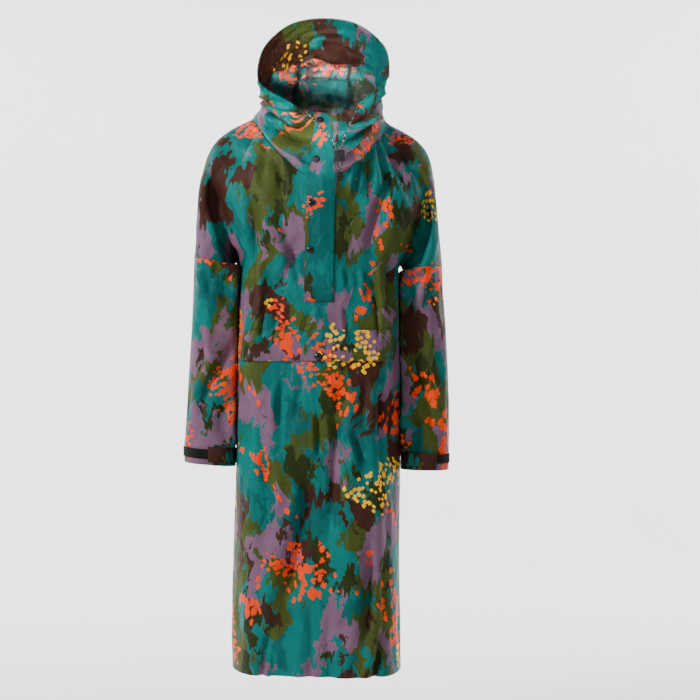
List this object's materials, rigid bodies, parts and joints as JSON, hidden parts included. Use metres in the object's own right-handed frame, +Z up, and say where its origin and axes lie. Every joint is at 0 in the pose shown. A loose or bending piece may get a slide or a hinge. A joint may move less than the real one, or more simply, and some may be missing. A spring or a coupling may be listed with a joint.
{
  "type": "rain poncho",
  "caption": "Long hooded rain poncho with dropped shoulders, sleeves, half-front snap placket, drawcord collar, pocket flap and tabbed cuffs, in the hollow pose of wear.",
  "frame": {"origin": "middle of the shoulders, where the wearer carries the poncho, halfway between front and back", "axes": "+Z up along the wearer's body, -Y towards the front opening, +X towards the wearer's left"},
  "size_m": [0.5717, 0.2965, 1.3777],
  "materials": {
    "cloth_teal": "smooth coated cloth with a printed ground of teal",
    "cloth_olive": "smooth coated cloth with a printed ground of olive",
    "cloth_mauve": "smooth coated cloth with a printed ground of mauve",
    "cloth_brown": "smooth coated cloth with a printed ground of brown",
    "hook_tape": "black hook-and-loop tape",
    "black_plastic": "black moulded plastic",
    "cord_braid": "black braided cord with pale flecks"
  },
  "bodies": {
    "root": {"front": "cloth_teal", "back": "cloth_olive", "sleeve_right": "cloth_mauve", "sleeve_left": "cloth_mauve", "hood_right": "cloth_teal", "hood_left": "cloth_olive", "hood_center": "cloth_brown", "hood_facing": "cloth_teal", "placket": "cloth_teal", "pocket_flap": "cloth_mauve", "cuff_tab_right": "cloth_brown", "cuff_tab_left": "cloth_brown", "cuff_strip_right": "hook_tape", "cuff_strip_left": "hook_tape", "snap_collar": "black_plastic", "snap_neck": "black_plastic", "snap_chest": "black_plastic", "snap_low": "black_plastic", "snap_pocket": "black_plastic", "eyelet_right": "black_plastic", "eyelet_left": "black_plastic", "cord_right": "cord_braid", "cord_left": "cord_braid", "cord_lock": "black_plastic", "cord_lock_button": "black_plastic", "cord_stopper": "black_plastic"}
  },
  "joints": []
}
